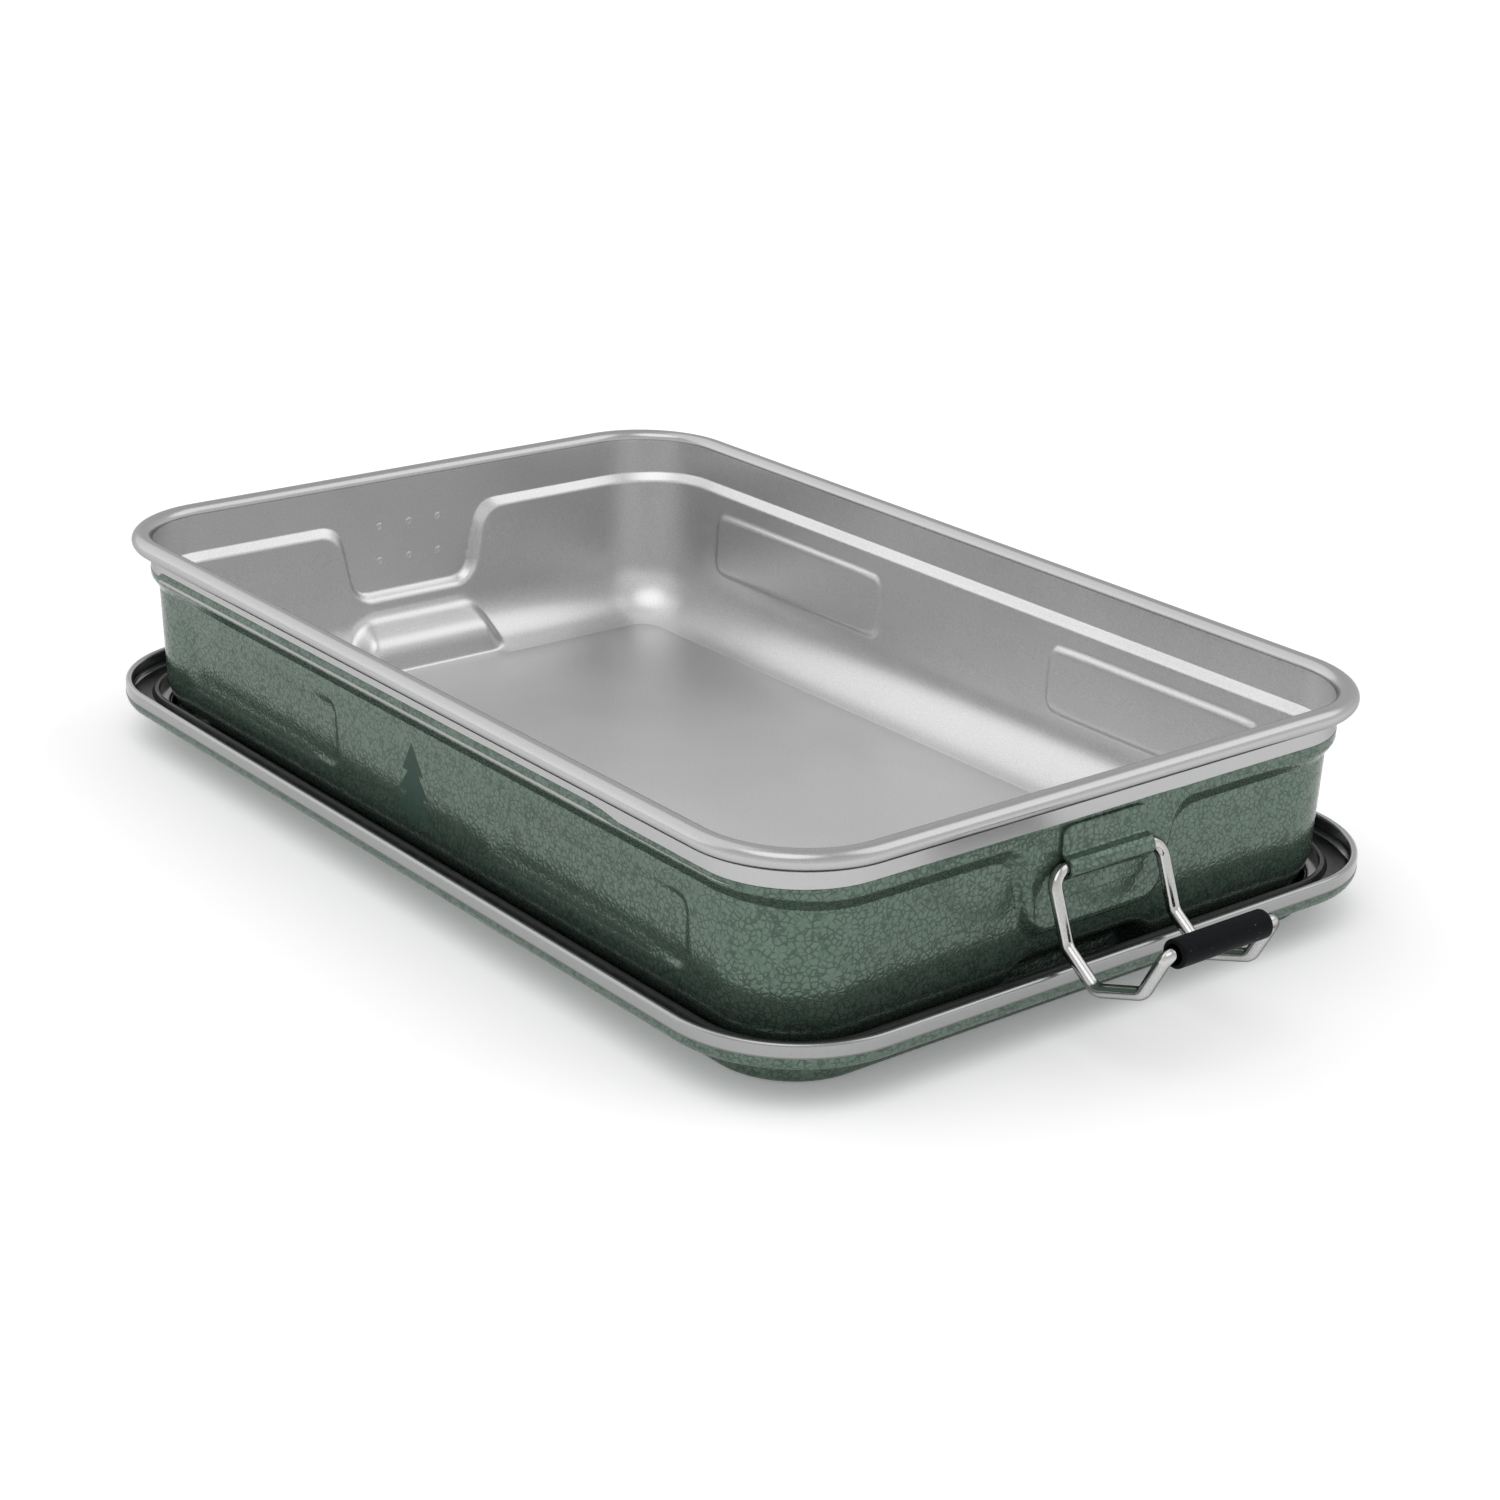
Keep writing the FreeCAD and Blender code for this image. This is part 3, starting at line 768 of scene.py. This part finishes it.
def hammertone_material(name, light, dark, deep):
    """Hammered enamel: small domed cells with darker sunk outlines, under a glossy coat."""
    m = Nodes(name)
    drift_scale, jitter, cell_scale = 600.0, 0.0009, 900.0
    swell_height, dome_height, line_depth = 40e-6, 11e-6, 6e-6
    drift = m.add("ShaderNodeTexNoise")
    drift.inputs["Scale"].default_value = drift_scale
    drift.inputs["Detail"].default_value = 2.0
    m.link(m.place, drift.inputs["Vector"])
    push = m.add("ShaderNodeVectorMath", operation="MULTIPLY_ADD")
    m.link(drift.outputs["Color"], push.inputs[0])
    push.inputs[1].default_value = (jitter, jitter, jitter)
    m.link(m.place, push.inputs[2])
    cells = m.add("ShaderNodeTexVoronoi", feature="DISTANCE_TO_EDGE")
    cells.inputs["Scale"].default_value = cell_scale
    m.link(push.outputs["Vector"], cells.inputs["Vector"])
    gap = cells.outputs["Distance"]
    whole = m.ramp(m.noise(700.0, 2.0, 0.5), 0.34, 0.52, 0.25, 1.0)
    line = m.maths("MULTIPLY", m.ramp(gap, 0.03, 0.19, 1.0, 0.0), whole)
    dome = m.ramp(gap, 0.0, 0.4)
    patch = m.ramp(m.noise(240.0, 3.0, 0.6), 0.3, 0.7)
    shade = m.mix(patch, dark, light)
    shade = m.mix(m.maths("MULTIPLY", line, 0.6), shade, deep)
    swell = m.bump(m.noise(300.0, 2.0, 0.5), swell_height)
    domed = m.bump(dome, dome_height, 1.0, swell)
    normal = m.bump(line, -line_depth, 1.0, domed)
    rough = m.ramp(line, 0.0, 1.0, 0.08, 0.3)
    m.settle(Base_Color=shade, Metallic=0.5, Roughness=rough, Normal=normal)
    return m.settle(Coat_Weight=0.2, Coat_Roughness=0.04, Coat_Normal=normal, Specular_Tint=(0.5, 0.5, 0.5))


def rubber_material(name, tone, rough, shine):
    """Moulded silicone: near-black, faintly mottled, with a little dust."""
    m = Nodes(name)
    mottle = m.noise(420.0, 4.0, 0.6)
    dust = m.ramp(m.noise(2600.0, 1.0, 0.4), 0.76, 0.8)
    shade = m.mix(m.ramp(mottle, 0.3, 0.7), tuple(c * 0.8 for c in tone), tuple(c * 1.25 for c in tone))
    shade = m.mix(m.maths("MULTIPLY", dust, 0.5), shade, (0.3, 0.29, 0.27))
    normal = m.bump(m.noise(3000.0, 2.0, 0.5), 6e-6)
    finish = m.ramp(mottle, 0.3, 0.7, rough - 0.05, rough + 0.06)
    return m.settle(Base_Color=shade, Roughness=finish, Normal=normal, Specular_IOR_Level=shine)


def ink_material(name, tone):
    """A flat screen print: satin ink that shows a little of the cells under it."""
    m = Nodes(name)
    grain = m.noise(900.0, 3.0, 0.6)
    shade = m.mix(m.ramp(grain, 0.3, 0.7), tuple(c * 0.88 for c in tone), tuple(c * 1.12 for c in tone))
    normal = m.bump(grain, 10e-6)
    rough = m.ramp(grain, 0.3, 0.7, 0.5, 0.6)
    return m.settle(Base_Color=shade, Roughness=rough, Normal=normal, Specular_IOR_Level=0.25)


GREEN_LIGHT = (0.126, 0.180, 0.144)
GREEN_DARK = (0.109, 0.161, 0.127)
GREEN_DEEP = (0.020, 0.040, 0.030)
# One steel in several tones: the box's inside and the weld marks get a lighter tone than the bead and band,
# which is painted light; the lid's hem gets a darker one, which is painted shade.
lightened_satin = steel_material("satin_steel_painted_light", (0.62, 0.62, 0.622), 0.35, 4.5e-6)
rim_satin = steel_material("rim_steel", (0.46, 0.46, 0.462), 0.25, 0.9e-6, edge=0.6, spread=0.04)
darkened_lid_satin = steel_material("lid_satin_steel_painted_shade", (0.35, 0.35, 0.352), 0.24, 0.8e-6, spread=0.04)
# The lid's inside below the hem gets a still darker tone of the same steel: painted shade inside the lid.
shaded_lid_inside = steel_material("lid_inside_steel_painted_shade", (0.2, 0.2, 0.202), 0.2, 0.8e-6, spread=0.04)
# The wire's low edge tint darkens its glancing reflections: a painted dark reflection.
wire_steel = steel_material("drawn_wire_steel", (0.53, 0.53, 0.525), 0.12, 1e-6, 3000.0, edge=0.12)
hammertone = hammertone_material("hammertone_green", GREEN_LIGHT, GREEN_DARK, GREEN_DEEP)
badge_ink = ink_material("badge_ink", (0.026, 0.055, 0.042))
gasket_black = rubber_material("gasket_black", (0.009, 0.009, 0.010), 0.34, 0.4)
grip_black = rubber_material("grip_black", (0.004, 0.0045, 0.006), 0.5, 0.06)


# ---------------------------------------------------------------- pieces on their bodies

def settle(piece, body, slot, material, *nodes):
    piece.data.materials.append(material)
    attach(piece, body)
    if nodes:
        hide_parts(*nodes)
    return piece


def second_material(piece, material, chosen):
    """Gives another material to the faces whose middle, in millimetres, is chosen."""
    piece.data.materials.append(material)
    for face in piece.data.polygons:
        if chosen(face.center / MM):
            face.material_index = 1


def on_rim(middle):
    """The bead, and the outer face of the bare band under it."""
    reach = max(abs(middle.x) - WALL_X, abs(middle.y) - WALL_Y)
    corner_x, corner_y = abs(middle.x) - WALL_X + WALL_CORNER, abs(middle.y) - WALL_Y + WALL_CORNER
    if corner_x > 0 and corner_y > 0:
        reach = math.hypot(corner_x, corner_y) - WALL_CORNER
    return middle.z > BEAD_Z or (middle.z > SHOULDER_Z and reach > -SHEET / 2)


# The sheet takes the lightened steel, which is painted light, and its bead and band take the plainer rim
# tone.
settle(box_steel, "box", "box_steel", lightened_satin, "box_shell")
second_material(box_steel, rim_satin, on_rim)
settle(box_enamel, "box", "hammertone_green", hammertone)
settle(tree_badge(), "box", "hammertone_green", badge_ink)
# The lid's hem takes the darkened steel: painted shade.
settle(lid_steel, "lid", "lid_enamel", darkened_lid_satin, "lid_shell")
# The lid's faces below the hem take the darkest steel: painted shade inside the lid.
second_material(lid_steel, shaded_lid_inside, lambda middle: middle.z < HEM_LOW_Z)
settle(lid_enamel, "lid", "hammertone_green", hammertone)
settle(gasket, "lid", "gasket_silicone", gasket_black, "lid_gasket")
for end, sign in (("right", 1), ("left", -1)):
    body = "bail_" + end
    settle(bail("wire_bail_" + end, sign), body, "wire_steel", wire_steel, "bail_wire_" + end)
    settle(grip("grip_tube_" + end, sign), body, "grip_silicone", grip_black, "grip_sleeve_" + end)
    settle(hinge_plate("plate_" + end, sign), "box", "hammertone_green", hammertone, "hinge_plate_" + end)
    settle(weld_marks("weld_marks_" + end, sign), "box", "box_steel", lightened_satin, "spot_welds_" + end)


# ---------------------------------------------------------------- floor, light and camera

def studio_floor():
    mesh = bpy.data.meshes.new("studio_floor")
    reach = 6.0
    z = -(FILM + FILM_GAP) * MM
    corners = [(-reach, -reach, z), (reach, -reach, z), (reach, reach, z), (-reach, reach, z)]
    mesh.from_pydata(corners, [], [(0, 1, 2, 3)])
    obj = bpy.data.objects.new("studio_floor", mesh)
    bpy.context.scene.collection.objects.link(obj)
    m = Nodes("floor_paper")
    tone = m.mix(m.ramp(m.noise(3.0), 0.3, 0.7), (0.93, 0.93, 0.93), (0.94, 0.94, 0.94))
    glow = {"Emission_Color": (1.0, 1.0, 1.0), "Emission_Strength": 0.15}
    obj.data.materials.append(m.settle(Base_Color=tone, Roughness=0.9, Specular_IOR_Level=0.1, **glow))


def sun(name, azimuth, elevation, spread, strength):
    """A soft light from far away; its angles are in degrees, with azimuth 0 in front of the object."""
    lamp = bpy.data.lights.new(name, "SUN")
    lamp.angle = math.radians(spread)
    lamp.energy = strength
    obj = bpy.data.objects.new(name, lamp)
    a, e = math.radians(azimuth), math.radians(elevation)
    towards = Vector((math.sin(a) * math.cos(e), -math.cos(a) * math.cos(e), math.sin(e)))
    obj.rotation_mode = "QUATERNION"
    obj.rotation_quaternion = (-towards).to_track_quat("-Z", "Y")
    bpy.context.scene.collection.objects.link(obj)


def world(horizon, zenith):
    """A soft dome that is brighter near the horizon, as a white studio sweep is."""
    studio = bpy.data.worlds.new("studio")
    bpy.context.scene.world = studio
    studio.use_nodes = True
    tree = studio.node_tree
    shade = tree.nodes["Background"]
    shade.inputs["Color"].default_value = (1, 1, 1, 1)
    place = tree.nodes.new("ShaderNodeTexCoord")
    split = tree.nodes.new("ShaderNodeSeparateXYZ")
    fade = tree.nodes.new("ShaderNodeMapRange")
    fade.interpolation_type = "SMOOTHSTEP"
    for key, number in (("From Min", 0.05), ("From Max", 0.85), ("To Min", horizon), ("To Max", zenith)):
        fade.inputs[key].default_value = number
    tree.links.new(place.outputs["Generated"], split.inputs[0])
    tree.links.new(split.outputs["Z"], fade.inputs["Value"])
    tree.links.new(fade.outputs["Result"], shade.inputs["Strength"])


def camera():
    """The view: in front and to the right, above the rim, leaning a little."""
    azimuth, elevation, roll = (math.radians(degrees) for degrees in (50.88, 21.21, 1.65))
    target = Vector((-18.88, 26.53, 0.0)) * MM
    distance = 613.4 * MM
    back = Vector((
        math.sin(azimuth) * math.cos(elevation),
        -math.cos(azimuth) * math.cos(elevation),
        math.sin(elevation),
    ))
    right = Vector((math.cos(azimuth), math.sin(azimuth), 0))
    up = back.cross(right)
    right_leaning = right * math.cos(roll) + up * math.sin(roll)
    up_leaning = up * math.cos(roll) - right * math.sin(roll)
    data = bpy.data.cameras.new("camera")
    data.sensor_width = 36.0
    data.lens = 71.32
    data.clip_start, data.clip_end = 0.01, 50.0
    obj = bpy.data.objects.new("camera", data)
    obj.matrix_world = Matrix((right_leaning, up_leaning, back)).transposed().to_4x4()
    obj.location = target + back * distance
    bpy.context.scene.collection.objects.link(obj)
    bpy.context.scene.camera = obj


studio_floor()
world(0.96, 0.66)
sun("key_sun", 28, 66, 44, 0.5)
sun("left_sun", -66, 38, 72, 0.6)
sun("back_sun", 150, 46, 46, 0.4)
camera()
bpy.context.scene.view_settings.view_transform = "Standard"
